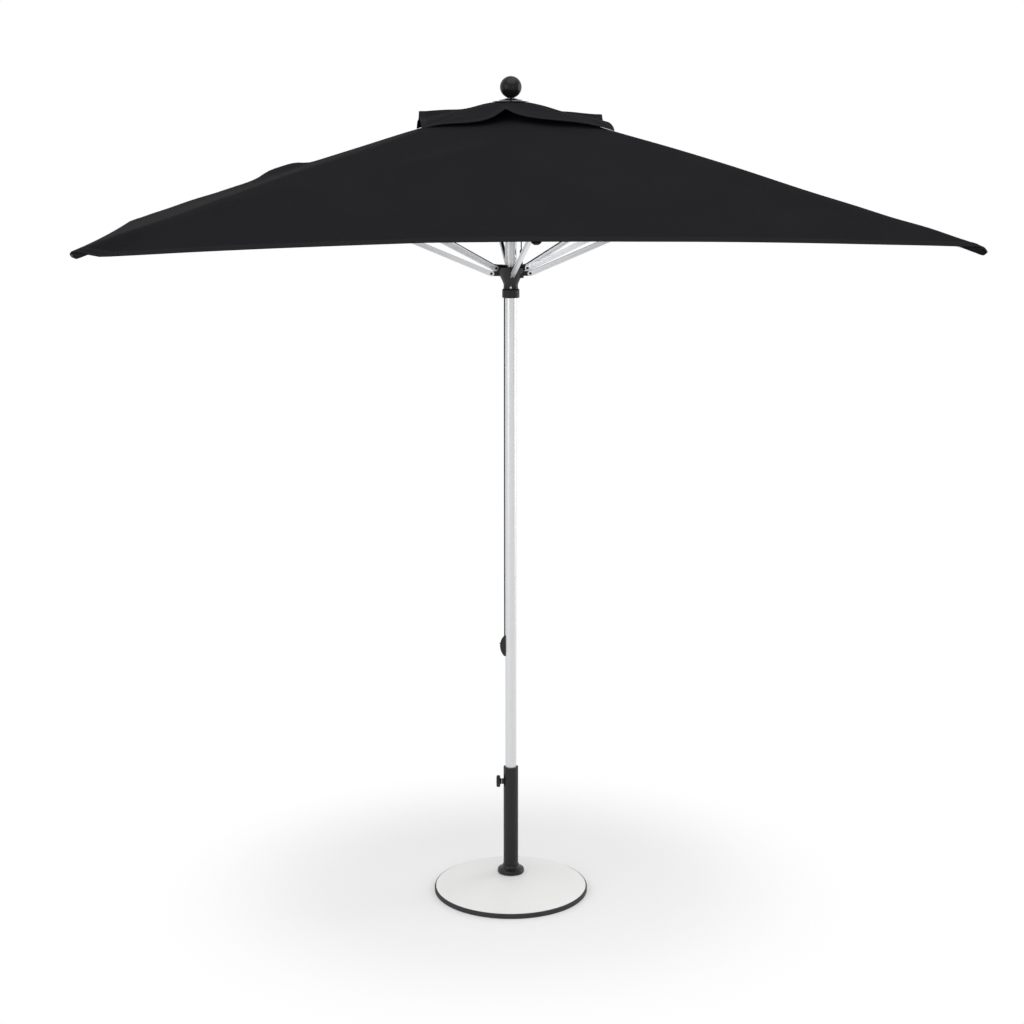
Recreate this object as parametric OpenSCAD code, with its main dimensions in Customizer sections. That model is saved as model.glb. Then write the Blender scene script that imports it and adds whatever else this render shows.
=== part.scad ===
// Patio umbrella with a weighted base, opened and closed by a lift cord.
// Oblong canopy on eight ribs, two-tier top, satin aluminium pole, domed disc base.
// Units are millimetres. Z is up, the origin is under the middle of the base, and
// the long side of the canopy runs along X. The front faces -Y.

/* [Canopy] */
// half length of the canopy, to the edge
canopy_a = 1312; // [1200:4:1400]
// half width of the canopy, to the edge
canopy_b = 835; // [785:5:880]
// height of the four corners
corner_z = 2278; // [2240:1:2300]
// height of the edge at the middle of the long sides
long_mid_z = 2301; // [2270:1:2320]
// height of the edge at the middle of the short sides
short_mid_z = 2272; // [2240:1:2290]
// thickness of the cloth in the solid model
cloth_t = 2.4; // [1.6:0.2:3.2]
// share of the canopy left open under the top tier
vent_share = 0.09; // [0.09:0.01:0.14]

/* [Top tier] */
// half length of the top tier
tier_a = 297; // [250:1:320]
// half width of the top tier
tier_b = 180; // [150:2:200]
// height of the top tier at its corners
tier_corner_z = 2617; // [2614:1:2630]
// height of the top tier at the middle of its sides
tier_mid_z = 2674; // [2660:1:2680]

/* [Ribs and struts] */
// height of the rib pivots in the hub
hub_z = 2665; // [2655:1:2668]
// radius of the rib pivots in the hub
hub_pivot_r = 55; // [53:1:58]
// rib and strut section height
bar_h = 18; // [16:1:19]
// rib section width
rib_w = 12; // [11:0.5:13]
// strut section width
strut_w = 11; // [10:0.5:12]
// drop of the strut pivot under the middle of the rib
ear_drop = 20; // [19.5:0.5:22]
// angle of a rib under the horizontal when closed
closed_angle = 87; // [86:0.5:88]

/* [Runner] */
// travel of the runner from open to closed
travel = 920; // [860:5:940]
// height of the middle strut pivots on the runner, open
runner_z = 2144; // [2136:1:2150]
// how much higher the corner strut pivots sit
corner_pivot_rise = 20; // [16:1:24]
// radius of the strut pivots on the runner
runner_pivot_r = 64; // [62:1:68]

/* [Pole] */
// outside diameter of the pole
pole_d = 38.1; // [38:0.1:38.4]
// wall of the pole
pole_wall = 1.7; // [1.4:0.1:2]
// bottom end of the pole
pole_bottom = 84; // [82:1:90]
// top end of the pole, inside the hub
pole_top = 2650; // [2645:1:2652]

/* [Base] */
// outside radius of the base
base_r = 266; // [250:1:280]
// height of the dome where the tube stands on it
dome_z = 64; // [63:1:65]
// outside diameter of the base tube
tube_d = 50.8; // [50:0.1:52]
// top of the base tube
tube_top = 448; // [440:1:460]
// height of the thumb screw
knob_z = 395; // [385:1:396]

/* [Quality] */
// fineness of the round parts
round_fn = 48; // [32:8:96]

/* [Hidden] */
eps = 0.01;
bolt_r = 2.5;
bore_r = 2.56;
cloth_share = 0.9996;
cord_r = 2;
cord_turn = -16;
knob_turn = 175;
sheave_x = 11;
sheave_z = 2600;
sheave_r = 15.1;
rib_turns = [
    0, atan2(canopy_b, canopy_a), 90, 180 - atan2(canopy_b, canopy_a),
    180, 180 + atan2(canopy_b, canopy_a), 270, 360 - atan2(canopy_b, canopy_a)
];

// ---- the canopy's shape ----
// Outline of an oblong: 0 is the middle of the +X side, 1 a corner, and so on to 8.
function ring_x(u, a) =
    let (w = u < 0 ? u + 8 : u >= 8 ? u - 8 : u)
    w <= 1 ? a : w <= 3 ? a * (2 - w) : w <= 5 ? -a : w <= 7 ? a * (w - 6) : a;
function ring_y(u, b) =
    let (w = u < 0 ? u + 8 : u >= 8 ? u - 8 : u)
    w <= 1 ? b * w : w <= 3 ? b : w <= 5 ? b * (4 - w) : w <= 7 ? -b : b * (w - 8);

// Height of the cloth's edge.
function edge_z(x, y) =
    abs(y) >= canopy_b - eps
    ? corner_z + (long_mid_z - corner_z) * (1 - pow(x / canopy_a, 2))
    : short_mid_z + (corner_z - short_mid_z) * pow(y / canopy_b, 2);

hub_cloth_z = hub_z + 12.5;
tip_gap = 2.4;

// Height of the cloth's upper face at a share k of the way out to the edge.
function cloth_z(u, k) =
    let (x = ring_x(u, canopy_a), y = ring_y(u, canopy_b), r = norm([x, y]))
    hub_cloth_z + (edge_z(x, y) - hub_cloth_z) * (k * r - hub_pivot_r) / (r - hub_pivot_r)
    + 11 * sin(180 * pow(k, 0.75));
function cloth_pt(u, k, d) =
    [k * ring_x(u, canopy_a), k * ring_y(u, canopy_b), cloth_z(u, k) - d];

tier_top = 2696.6;
tier_in = 33;

// Edge of the top tier: held up at the middles, hanging at the corners.
function tier_c(u) = let (w = u - floor(u / 2) * 2) 1 - abs(1 - w);
function tier_edge_z(u) =
    let (c = tier_c(u))
    tier_mid_z - (tier_mid_z - tier_corner_z) * (0.62 * (1 - exp(-c / 0.15)) + 0.38 * pow(c, 4));
function tier_share(k) =
    let (t = min(1, max(0, (k - 0.04) / 0.5)))
    0.52 * t * t * (3 - 2 * t) + 0.48 * k;
function tier_pt(u, k, d) =
    let (x = ring_x(u, tier_a), y = ring_y(u, tier_b), r = norm([x, y]), q = tier_in + (r - tier_in) * k)
    let (z = tier_top - (tier_top - tier_mid_z) * tier_share(k))
    [x / r * q, y / r * q, z - (tier_mid_z - tier_edge_z(u)) * pow(k, 1.6) - d];

function rib_turn(i) = rib_turns[i];
function rib_tip(i) = [ring_x(i, canopy_a), ring_y(i, canopy_b)];
function rib_run(i) = norm(rib_tip(i)) - hub_pivot_r;
function rib_fall(i) = hub_cloth_z - edge_z(rib_tip(i)[0], rib_tip(i)[1]) + tip_gap;
function rib_angle(i) = atan2(rib_fall(i), rib_run(i));
function rib_length(i) = norm([rib_run(i), rib_fall(i)]) - 6;
function pivot_z(i) = runner_z + (i % 2 == 1 ? corner_pivot_rise : 0);

// Side view of a rib, radius and height: along the rib, and square under it.
function along(t) = [cos(t), -sin(t)];
function under(t) = [-sin(t), -cos(t)];
function from_runner(i, t, s) =
    [hub_pivot_r, hub_z] + ear_drop * under(t) - [runner_pivot_r, pivot_z(i) - s];

// Distance of the ear along the rib, so that the strut fits both open and closed.
function ear_at(i) =
    let (p = from_runner(i, rib_angle(i), 0), q = from_runner(i, closed_angle, travel))
    (q * q - p * p) / (2 * (along(rib_angle(i)) * p - along(closed_angle) * q));
function strut_side(i) =
    from_runner(i, rib_angle(i), 0) + ear_at(i) * along(rib_angle(i));
function strut_length(i) = norm(strut_side(i));
function strut_angle(i) = atan2(strut_side(i)[1], strut_side(i)[0]);

// ---- helpers ----
module across(r, w) {
    rotate([90, 0, 0])
        cylinder(r = r, h = w, center = true, $fn = round_fn);
}

module tube(r, ri, z0, z1) {
    difference() {
        translate([0, 0, z0])
            cylinder(r = r, h = z1 - z0, $fn = round_fn);
        translate([0, 0, z0 - 1])
            cylinder(r = ri, h = z1 - z0 + 2, $fn = round_fn);
    }
}

// Sheet through a grid of points, rows along the edge and columns outwards.
module sheet(top, low, n, m) {
    faces_top = [
        for (i = [0:n - 1], j = [0:m - 1], h = [0, 1])
        h == 0
        ? [i * (m + 1) + j, (i + 1) * (m + 1) + j, (i + 1) * (m + 1) + j + 1]
        : [i * (m + 1) + j, (i + 1) * (m + 1) + j + 1, i * (m + 1) + j + 1]
    ];
    c = (n + 1) * (m + 1);
    faces_low = [for (f = faces_top) [f[2] + c, f[1] + c, f[0] + c]];
    rim = concat(
        [for (j = [0:m]) j],
        [for (i = [1:n]) i * (m + 1) + m],
        [for (j = [m - 1:-1:0]) n * (m + 1) + j],
        [for (i = [n - 1:-1:1]) i * (m + 1)]
    );
    faces_rim = [
        for (i = [0:len(rim) - 1], h = [0, 1])
        let (p = rim[i], q = rim[(i + 1) % len(rim)])
        h == 0 ? [p, q, q + c] : [p, q + c, p + c]
    ];
    polyhedron(concat(top, low), concat(faces_top, faces_low, faces_rim));
}

// ---- base ----
module base_plate() {
    color("#26262a")
        difference() {
            cylinder(r = base_r - 14, h = 4, $fn = 96);
            translate([0, 0, -1])
                cylinder(r = 16, h = 6, $fn = round_fn);
        }
}

module base_weight() {
    color("#e6e6e3")
        difference() {
            rotate_extrude($fn = 96)
                polygon([
                    [base_r - 21, 4.3], [base_r - 14, 4.3], [base_r - 8, 8], [base_r - 5, 13],
                    [base_r - 5, 17.5], [base_r - 8, 19.5], [base_r - 26, 24.6],
                    [base_r - 66, 35], [base_r - 116, 47], [base_r - 166, 56.6],
                    [base_r - 206, 62.4], [50, dome_z], [0, dome_z], [0, 4.3], [34, 4.3],
                    [40, 50], [base_r - 206, 48.6], [base_r - 166, 43.4],
                    [base_r - 116, 34], [base_r - 66, 22], [base_r - 26, 11.6]
                ]);
            translate([0, 0, 4])
                cylinder(r = 15, h = 10, $fn = round_fn);
            cylinder(r = 5.3, h = 80, $fn = round_fn);
        }
}

module base_rim() {
    color("#2b2b2f")
        rotate_extrude($fn = 96)
            polygon([
                [base_r - 13.6, 0], [base_r - 1.5, 0], [base_r, 1.5], [base_r, 13],
                [base_r - 1.5, 16], [base_r - 4.7, 16.6], [base_r - 4.7, 12.7],
                [base_r - 7.7, 7.6], [base_r - 13.6, 4]
            ]);
}

module base_collar() {
    color("#202023")
        rotate_extrude($fn = 72)
            polygon([
                [tube_d / 2 + 0.3, dome_z + 0.3], [44, dome_z + 0.3], [45.6, dome_z + 3],
                [46, dome_z + 7.5], [45.6, dome_z + 12], [44, dome_z + 14.6],
                [40, dome_z + 16.6], [36, dome_z + 18], [31, dome_z + 20.5],
                [28.6, dome_z + 25], [27.6, dome_z + 30], [tube_d / 2 + 0.3, dome_z + 31]
            ]);
}

module base_tube() {
    color("#232326")
        difference() {
            tube(tube_d / 2, tube_d / 2 - 2, dome_z + 0.3, tube_top);
            translate([0, 0, knob_z])
                rotate([0, 0, knob_turn])
                    rotate([0, 90, 0])
                        cylinder(r = 4.3, h = 40, $fn = round_fn);
        }
}

module tube_bolt() {
    color("#8d8f93") {
        translate([0, 0, 4.6])
            cylinder(r = 9, h = 6.4, $fn = 6);
        translate([0, 0, 10.9])
            cylinder(r = 5, h = dome_z + 1, $fn = round_fn);
        translate([0, 0, dome_z + 0.3])
            cylinder(r = 23, h = 2.5, $fn = round_fn);
        translate([0, 0, dome_z + 2.7])
            cylinder(r = 9, h = 7, $fn = 6);
    }
}

module on_knob() {
    translate([0, 0, knob_z])
        rotate([0, 0, knob_turn])
            rotate([0, 90, 0])
                children();
}

module knob_boss() {
    color("#202023")
        difference() {
            on_knob()
                translate([0, 0, 22])
                    cylinder(r = 10, h = 9, $fn = round_fn);
            translate([0, 0, knob_z - 20])
                cylinder(r = tube_d / 2 + 0.1, h = 40, $fn = round_fn);
            on_knob()
                cylinder(r = 4.05, h = 60, $fn = round_fn);
        }
}

module knob_washer() {
    color("#77797d")
        on_knob()
            difference() {
                translate([0, 0, 31.2])
                    cylinder(r = 9, h = 1.6, $fn = round_fn);
                cylinder(r = 4.06, h = 60, $fn = round_fn);
            }
}

module thumb_knob() {
    color("#1c1c1f")
        on_knob() {
            translate([0, 0, 19.4])
                cylinder(r = 4, h = 20, $fn = round_fn);
            translate([0, 0, 33])
                cylinder(r = 10.5, h = 4.5, $fn = round_fn);
            difference() {
                rotate_extrude($fn = round_fn)
                    polygon([
                        [0, 36.5], [15, 36.5], [19, 37.6], [20.5, 40],
                        [20.5, 46], [19, 48.8], [15.5, 50], [0, 50.4]
                    ]);
                for (i = [0:7])
                    rotate([0, 0, 45 * i])
                        translate([25.2, 0, 36])
                            cylinder(r = 6, h = 15, $fn = 24);
            }
        }
}

// ---- pole ----
module tube_bushing() {
    color("#2a2a2d")
        tube(tube_d / 2 - 2.06, pole_d / 2 + 0.06, 405, tube_top - 1);
}

module pole_tube() {
    color("#c9cacb")
        difference() {
            tube(pole_d / 2, pole_d / 2 - pole_wall, pole_bottom, pole_top);
            rotate([0, 0, cord_turn])
                translate([0, -4.8, sheave_z - 24])
                    cube([30, 9.6, 48]);
            rotate([0, 0, cord_turn])
                translate([sheave_x, 0, sheave_z])
                    across(bore_r, 60);
            rotate([0, 0, cord_turn])
                translate([-30, 0, 886])
                    rotate([0, 90, 0])
                        cylinder(r = 5, h = 30, $fn = round_fn);
        }
}

module pole_plug() {
    color("#2a2a2d") {
        translate([0, 0, pole_bottom - 5])
            cylinder(r = pole_d / 2, h = 4.8, $fn = round_fn);
        translate([0, 0, pole_bottom - 0.3])
            cylinder(r = pole_d / 2 - pole_wall - 0.1, h = 24, $fn = round_fn);
    }
}

module on_outlet() {
    rotate([0, 0, cord_turn + 180])
        translate([0, 0, 881])
            children();
}

module cord_outlet() {
    color("#1b1b1e")
        on_outlet()
            difference() {
                union() {
                    translate([pole_d / 2 - 7, 0, 0])
                        rotate([0, 90, 0])
                            intersection() {
                                cylinder(r = 40, h = 24, center = false, $fn = 72);
                                translate([-36, -11, 0])
                                    cube([72, 22, 24]);
                                translate([0, 0, -29])
                                    rotate([90, 0, 0])
                                        cylinder(r = 52.5, h = 30, center = true, $fn = 96);
                            }
                }
                translate([0, 0, -50])
                    cylinder(r = pole_d / 2 + 0.15, h = 100, $fn = round_fn);
                translate([0, 0, 5])
                    rotate([0, 90, 0])
                        cylinder(r = 4.4, h = 60, $fn = round_fn);
                for (z = [-24, 24])
                    translate([0, 0, z])
                        rotate([0, 90, 0]) {
                            cylinder(r = 1.9, h = 60, $fn = 24);
                            translate([0, 0, 22.6])
                                cylinder(r = 3.9, h = 40, $fn = 24);
                        }
            }
}

module outlet_screws() {
    color("#9a9ca0")
        on_outlet()
            for (z = [-24, 24])
                translate([pole_d / 2 + 0.3, 0, z])
                    rotate([0, 90, 0]) {
                        cylinder(r = 1.8, h = 4, $fn = 24);
                        translate([0, 0, 3.6])
                            cylinder(r = 3.6, h = 1.8, $fn = 24);
                    }
}

// ---- hub, sheave and finial ----
module hub_body() {
    color("#1b1b1e")
        difference() {
            union() {
                rotate_extrude($fn = 72)
                    polygon([
                        [0, 2630], [30, 2630], [38, 2634], [40, 2640], [40, 2684],
                        [38, 2689], [34, 2692], [30, 2697.4], [0, 2697.4]
                    ]);
                for (i = [0:7])
                    rotate([0, 0, rib_turn(i)]) {
                        translate([20, -3, hub_z - 8])
                            cube([hub_pivot_r - 20, 6, 16]);
                        translate([hub_pivot_r, 0, hub_z])
                            across(8, 6);
                    }
            }
            translate([0, 0, 2620])
                cylinder(r = pole_d / 2 + 0.05, h = pole_top - 2620 + 0.3, $fn = round_fn);
            translate([0, 0, 2670])
                cylinder(r = 4.1, h = 40, $fn = round_fn);
            for (i = [0:7])
                rotate([0, 0, rib_turn(i)])
                    translate([hub_pivot_r, 0, hub_z])
                        across(bore_r, 20);
        }
}

module bolt(w) {
    across(bolt_r, w);
    for (s = [-1, 1])
        translate([0, s * (w / 2 + 1), 0])
            across(4.3, 2.2);
}

module hub_bolts() {
    color("#6f7175") {
        for (i = [0:7])
            rotate([0, 0, rib_turn(i)])
                translate([hub_pivot_r, 0, hub_z])
                    bolt(rib_w + 1);
        rotate([0, 0, cord_turn])
            translate([sheave_x, 0, sheave_z])
                across(bolt_r, 34);
    }
}

module sheave() {
    color("#d8d8d4")
        rotate([0, 0, cord_turn])
            translate([sheave_x, 0, sheave_z])
                rotate([90, 0, 0])
                    rotate_extrude($fn = 36)
                        difference() {
                            translate([bore_r, -4])
                                square([17.4 - bore_r, 8]);
                            translate([sheave_r, 0])
                                circle(r = cord_r + 0.1, $fn = 16);
                            translate([sheave_r, -cord_r - 0.1])
                                square([6, 2 * cord_r + 0.2]);
                        }
}

// Round cloth patch that covers the middle of the top tier.
module crown_patch() {
    color("#1f1f23")
        rotate_extrude($fn = 72)
            polygon([
                [8, 2697.7], [34, 2697.7], [42, 2696.9], [58, 2695.3],
                [58, 2696.8], [42, 2698.4], [34, 2699.2], [8, 2699.2]
            ]);
}

module finial_flange() {
    color("#19191b")
        difference() {
            rotate_extrude($fn = 72)
                polygon([
                    [0, 2699.5], [37, 2699.5], [38, 2700.2], [37.4, 2701.4],
                    [26, 2703.4], [17, 2706.3], [0, 2706.6]
                ]);
            translate([0, 0, 2690])
                cylinder(r = 4.06, h = 40, $fn = round_fn);
        }
}

module finial() {
    color("#19191b") {
        translate([0, 0, 2742])
            sphere(r = 35, $fn = 64);
        translate([0, 0, 2706.9])
            cylinder(r = 12, h = 12, $fn = round_fn);
        translate([0, 0, 2676])
            cylinder(r = 4, h = 40, $fn = round_fn);
    }
}

// ---- runner ----
module runner_body() {
    color("#1b1b1e")
        difference() {
            union() {
                rotate_extrude($fn = 72)
                    polygon([
                        [19.6, 2065], [27.5, 2065], [28.5, 2066.5], [28.5, 2091],
                        [27.5, 2093], [24.2, 2094.5], [23.6, 2102], [24, 2110],
                        [30, 2124], [38, 2140], [47, 2156], [52, 2163.5],
                        [52, 2166], [50.5, 2167], [46.5, 2167], [42, 2160],
                        [35, 2150], [28, 2144], [19.6, 2144]
                    ]);
                for (i = [0:7])
                    rotate([0, 0, rib_turn(i)]) {
                        translate([20, -3, pivot_z(i) - 8])
                            cube([runner_pivot_r - 20, 6, 16]);
                        translate([runner_pivot_r, 0, pivot_z(i)])
                            across(8, 6);
                    }
                rotate([0, 0, cord_turn])
                    translate([28, -8, 2130])
                        cube([14, 16, 30]);
            }
            translate([0, 0, 2060])
                cylinder(r = 19.6, h = 120, $fn = round_fn);
            translate([0, 0, 2064])
                cylinder(r = 22.1, h = 26.2, $fn = round_fn);
            for (i = [0:7])
                rotate([0, 0, rib_turn(i)])
                    translate([runner_pivot_r, 0, pivot_z(i)])
                        across(bore_r, 20);
            rotate([0, 0, cord_turn])
                translate([35.5, 0, 2145])
                    cylinder(r = 4.3, h = 40, $fn = 32);
            rotate([0, 0, -95])
                translate([20, 0, 2100])
                    rotate([0, 90, 0])
                        cylinder(r = 1.9, h = 30, $fn = 24);
            rotate([0, 0, -89])
                translate([18, -0.5, 2090])
                    cube([12, 1, 22]);
        }
}

module runner_liner() {
    color("#d8d8d4")
        tube(22, pole_d / 2 + 0.06, 2065.3, 2090);
}

module runner_bolts() {
    color("#1f1f22")
        for (i = [0:7])
            rotate([0, 0, rib_turn(i)])
                translate([runner_pivot_r, 0, pivot_z(i)])
                    bolt(strut_w + 1);
}

module runner_screw() {
    color("#cfcfd0")
        rotate([0, 0, -95])
            translate([20.2, 0, 2100])
                rotate([0, 90, 0]) {
                    cylinder(r = 1.8, h = 5, $fn = 24);
                    translate([0, 0, 4.2])
                        cylinder(r = 3.4, h = 1.8, $fn = 24);
                }
}

module cord_anchor() {
    color("#18181a")
        rotate([0, 0, cord_turn])
            translate([35.5, 0, 0])
                tube(4.2, cord_r + 0.2, 2145.3, 2194);
}

// ---- lift cord ----
cord_x0 = 35.5;
cord_x1 = sheave_x + sheave_r;
cord_lean = atan2(cord_x0 - cord_x1, sheave_z - 2194);

module cord_ferrule() {
    color("#18181a")
        rotate([0, 0, cord_turn])
            translate([cord_x0, 0, 2194])
                rotate([0, -cord_lean, 0])
                    difference() {
                        rotate_extrude($fn = 32)
                            polygon([
                                [0, 9], [3.6, 9], [5, 11.5], [5.4, 15], [5.4, 22],
                                [5, 25.5], [3.6, 28], [0, 28]
                            ]);
                        cylinder(r = cord_r + 0.15, h = 60, $fn = 24);
                    }
}

module lift_cord_outer() {
    color("#2c2c30")
        rotate([0, 0, cord_turn])
            translate([cord_x0, 0, 2194.2])
                rotate([0, -cord_lean, 0])
                    cylinder(r = cord_r, h = (sheave_z - 2194) / cos(cord_lean) - 1, $fn = 24);
}

module lift_cord_inner() {
    color("#2c2c30")
        rotate([0, 0, cord_turn]) {
            translate([sheave_x, 0, sheave_z])
                rotate([90, 0, 0])
                    rotate_extrude(angle = 180, $fn = round_fn)
                        translate([sheave_r, 0])
                            circle(r = cord_r, $fn = 24);
            translate([sheave_x - sheave_r, 0, 898])
                cylinder(r = cord_r, h = sheave_z - 898, $fn = 24);
            translate([sheave_x - sheave_r - 12, 0, 898])
                rotate([-90, 0, 0])
                    rotate_extrude(angle = 90, $fn = round_fn)
                        translate([12, 0])
                            circle(r = cord_r, $fn = 24);
            translate([sheave_x - sheave_r - 35, 0, 886])
                rotate([0, 90, 0])
                    cylinder(r = cord_r, h = 23, $fn = 24);
        }
}

// ---- ribs ----
module rib(i) {
    l = rib_length(i);
    e = ear_at(i);
    wall = 1.5;
    color("#c3c5c8")
        rotate([0, 0, rib_turn(i)])
            translate([hub_pivot_r, 0, hub_z])
                rotate([0, rib_angle(i), 0])
                    difference() {
                        union() {
                            difference() {
                                union() {
                                    across(bar_h / 2, rib_w);
                                    translate([0, -rib_w / 2, -bar_h / 2])
                                        cube([l - 30, rib_w, bar_h]);
                                    translate([e - 9, -rib_w / 2, -ear_drop])
                                        cube([18, rib_w, 14]);
                                    translate([e, 0, -ear_drop])
                                        across(9, rib_w);
                                }
                                translate([-20, wall - rib_w / 2, -40])
                                    cube([l, rib_w - 2 * wall, 40 + bar_h / 2 - wall]);
                                translate([-20, wall - rib_w / 2, -40])
                                    cube([36, rib_w - 2 * wall, 80]);
                            }
                            translate([l - 40, -rib_w / 2 + wall, -bar_h / 2])
                                cube([11, rib_w - 2 * wall, bar_h - wall + 0.2]);
                            translate([l - 30.2, -rib_w / 2, bar_h / 2 - 11])
                                cube([24, rib_w, 10]);
                            translate([l - 6.4, 0, bar_h / 2 - 6])
                                across(5, rib_w);
                            translate([e, 0, -ear_drop])
                                bolt(rib_w - 0.2);
                        }
                        across(bore_r, 40);
                    }
}

module rib_e() rib(0);
module rib_ne() rib(1);
module rib_n() rib(2);
module rib_nw() rib(3);
module rib_w() rib(4);
module rib_sw() rib(5);
module rib_s() rib(6);
module rib_se() rib(7);

// ---- struts ----
module strut(i) {
    l = strut_length(i);
    color("#c9cbce")
        rotate([0, 0, rib_turn(i)])
            translate([runner_pivot_r, 0, pivot_z(i)])
                rotate([0, -strut_angle(i), 0])
                    difference() {
                        union() {
                            across(bar_h / 2, strut_w);
                            translate([0, -strut_w / 2, -bar_h / 2])
                                cube([l - 20, strut_w, bar_h - 1.6]);
                            translate([l - 21, -4.3, -7.5])
                                cube([21, 8.6, 15]);
                            translate([l, 0, 0])
                                across(7.5, 8.6);
                        }
                        translate([-20, -3.4, -20])
                            cube([33, 6.8, 40]);
                        translate([10, -3.4, 2 - bar_h / 2])
                            cube([l - 36, 6.8, bar_h + 4]);
                        across(bore_r, 40);
                        translate([l, 0, 0])
                            across(bore_r, 40);
                        for (s = [-1, 1])
                            translate([18, s * (strut_w / 2) - 0.9, -3])
                                cube([l - 42, 1.8, 6]);
                    }
}

module strut_e() strut(0);
module strut_ne() strut(1);
module strut_n() strut(2);
module strut_nw() strut(3);
module strut_w() strut(4);
module strut_sw() strut(5);
module strut_s() strut(6);
module strut_se() strut(7);

// ---- cloth ----
module canopy(i) {
    n = 8;
    m = 8;
    us = [for (k = [0:n]) i + (k / n - 0.5) * cloth_share];
    ks = [for (j = [0:m]) vent_share + (1 - vent_share) * j / m];
    top = [for (u = us, k = ks) cloth_pt(u, k, 0)];
    low = [for (u = us, k = ks) cloth_pt(u, k, cloth_t)];
    color("#222226")
        sheet(top, low, n, m);
}

module canopy_e() canopy(0);
module canopy_ne() canopy(1);
module canopy_n() canopy(2);
module canopy_nw() canopy(3);
module canopy_w() canopy(4);
module canopy_sw() canopy(5);
module canopy_s() canopy(6);
module canopy_se() canopy(7);

module tier(i) {
    n = 8;
    m = 6;
    us = [for (k = [0:n]) i + (k / n - 0.5) * cloth_share];
    ks = [for (j = [0:m]) j / m];
    top = [for (u = us, k = ks) tier_pt(u, k, 0)];
    low = [for (u = us, k = ks) tier_pt(u, k, cloth_t)];
    color("#222226")
        sheet(top, low, n, m);
}

module tier_e() tier(0);
module tier_ne() tier(1);
module tier_n() tier(2);
module tier_nw() tier(3);
module tier_w() tier(4);
module tier_sw() tier(5);
module tier_s() tier(6);
module tier_se() tier(7);

base_plate();
base_weight();
base_rim();
base_collar();
base_tube();
tube_bolt();
knob_boss();
knob_washer();
thumb_knob();
tube_bushing();
pole_tube();
pole_plug();
cord_outlet();
outlet_screws();
hub_body();
hub_bolts();
sheave();
crown_patch();
finial_flange();
finial();
runner_body();
runner_liner();
runner_bolts();
runner_screw();
cord_anchor();
cord_ferrule();
lift_cord_outer();
lift_cord_inner();
rib_e();
rib_ne();
rib_n();
rib_nw();
rib_w();
rib_sw();
rib_s();
rib_se();
strut_e();
strut_ne();
strut_n();
strut_nw();
strut_w();
strut_sw();
strut_s();
strut_se();
canopy_e();
canopy_ne();
canopy_n();
canopy_nw();
canopy_w();
canopy_sw();
canopy_s();
canopy_se();
tier_e();
tier_ne();
tier_n();
tier_nw();
tier_w();
tier_sw();
tier_s();
tier_se();
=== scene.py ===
import bmesh
import bpy
import math
import numpy as np
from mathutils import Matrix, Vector


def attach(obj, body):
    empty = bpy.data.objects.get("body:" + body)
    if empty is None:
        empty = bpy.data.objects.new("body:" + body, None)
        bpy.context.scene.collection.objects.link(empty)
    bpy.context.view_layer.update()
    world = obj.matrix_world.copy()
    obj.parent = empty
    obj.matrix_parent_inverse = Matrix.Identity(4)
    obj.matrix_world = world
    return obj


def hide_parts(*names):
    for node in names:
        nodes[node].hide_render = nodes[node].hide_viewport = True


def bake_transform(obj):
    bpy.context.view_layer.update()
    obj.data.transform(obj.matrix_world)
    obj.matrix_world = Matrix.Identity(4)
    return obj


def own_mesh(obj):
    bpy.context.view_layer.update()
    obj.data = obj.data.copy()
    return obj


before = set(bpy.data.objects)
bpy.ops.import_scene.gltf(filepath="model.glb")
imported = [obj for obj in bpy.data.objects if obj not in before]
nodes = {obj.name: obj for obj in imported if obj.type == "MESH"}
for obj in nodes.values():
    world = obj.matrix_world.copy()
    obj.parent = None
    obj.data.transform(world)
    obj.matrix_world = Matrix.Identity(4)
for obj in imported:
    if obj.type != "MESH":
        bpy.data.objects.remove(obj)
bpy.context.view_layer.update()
scene = bpy.context.scene
view = scene.view_settings
view.view_transform = "Standard"

# ---------------------------------------------------------------- camera
TURN = math.radians(-5.08)
REACH, EYE_Z = 6.437, 2.650
cam_data = bpy.data.cameras.new("camera")
cam_data.lens = 68.64
cam_data.sensor_width = 36.0
cam_data.clip_end = 100.0
cam = bpy.data.objects.new("camera", cam_data)
scene.collection.objects.link(cam)
cam.location = (REACH * math.sin(TURN), -REACH * math.cos(TURN), EYE_Z)
cam.rotation_euler = (math.radians(90 - 11.46), 0, TURN - math.radians(0.035))
scene.camera = cam

NAMES = ["e", "ne", "n", "nw", "w", "sw", "s", "se"]
TURNS = [math.atan2(y, x) for x, y in (
    (1.312, 0), (1.312, 0.835), (0, 0.835), (-1.312, 0.835),
    (-1.312, 0), (-1.312, -0.835), (0, -0.835), (1.312, -0.835))]

# ---------------------------------------------------------------- shader helpers


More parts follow.
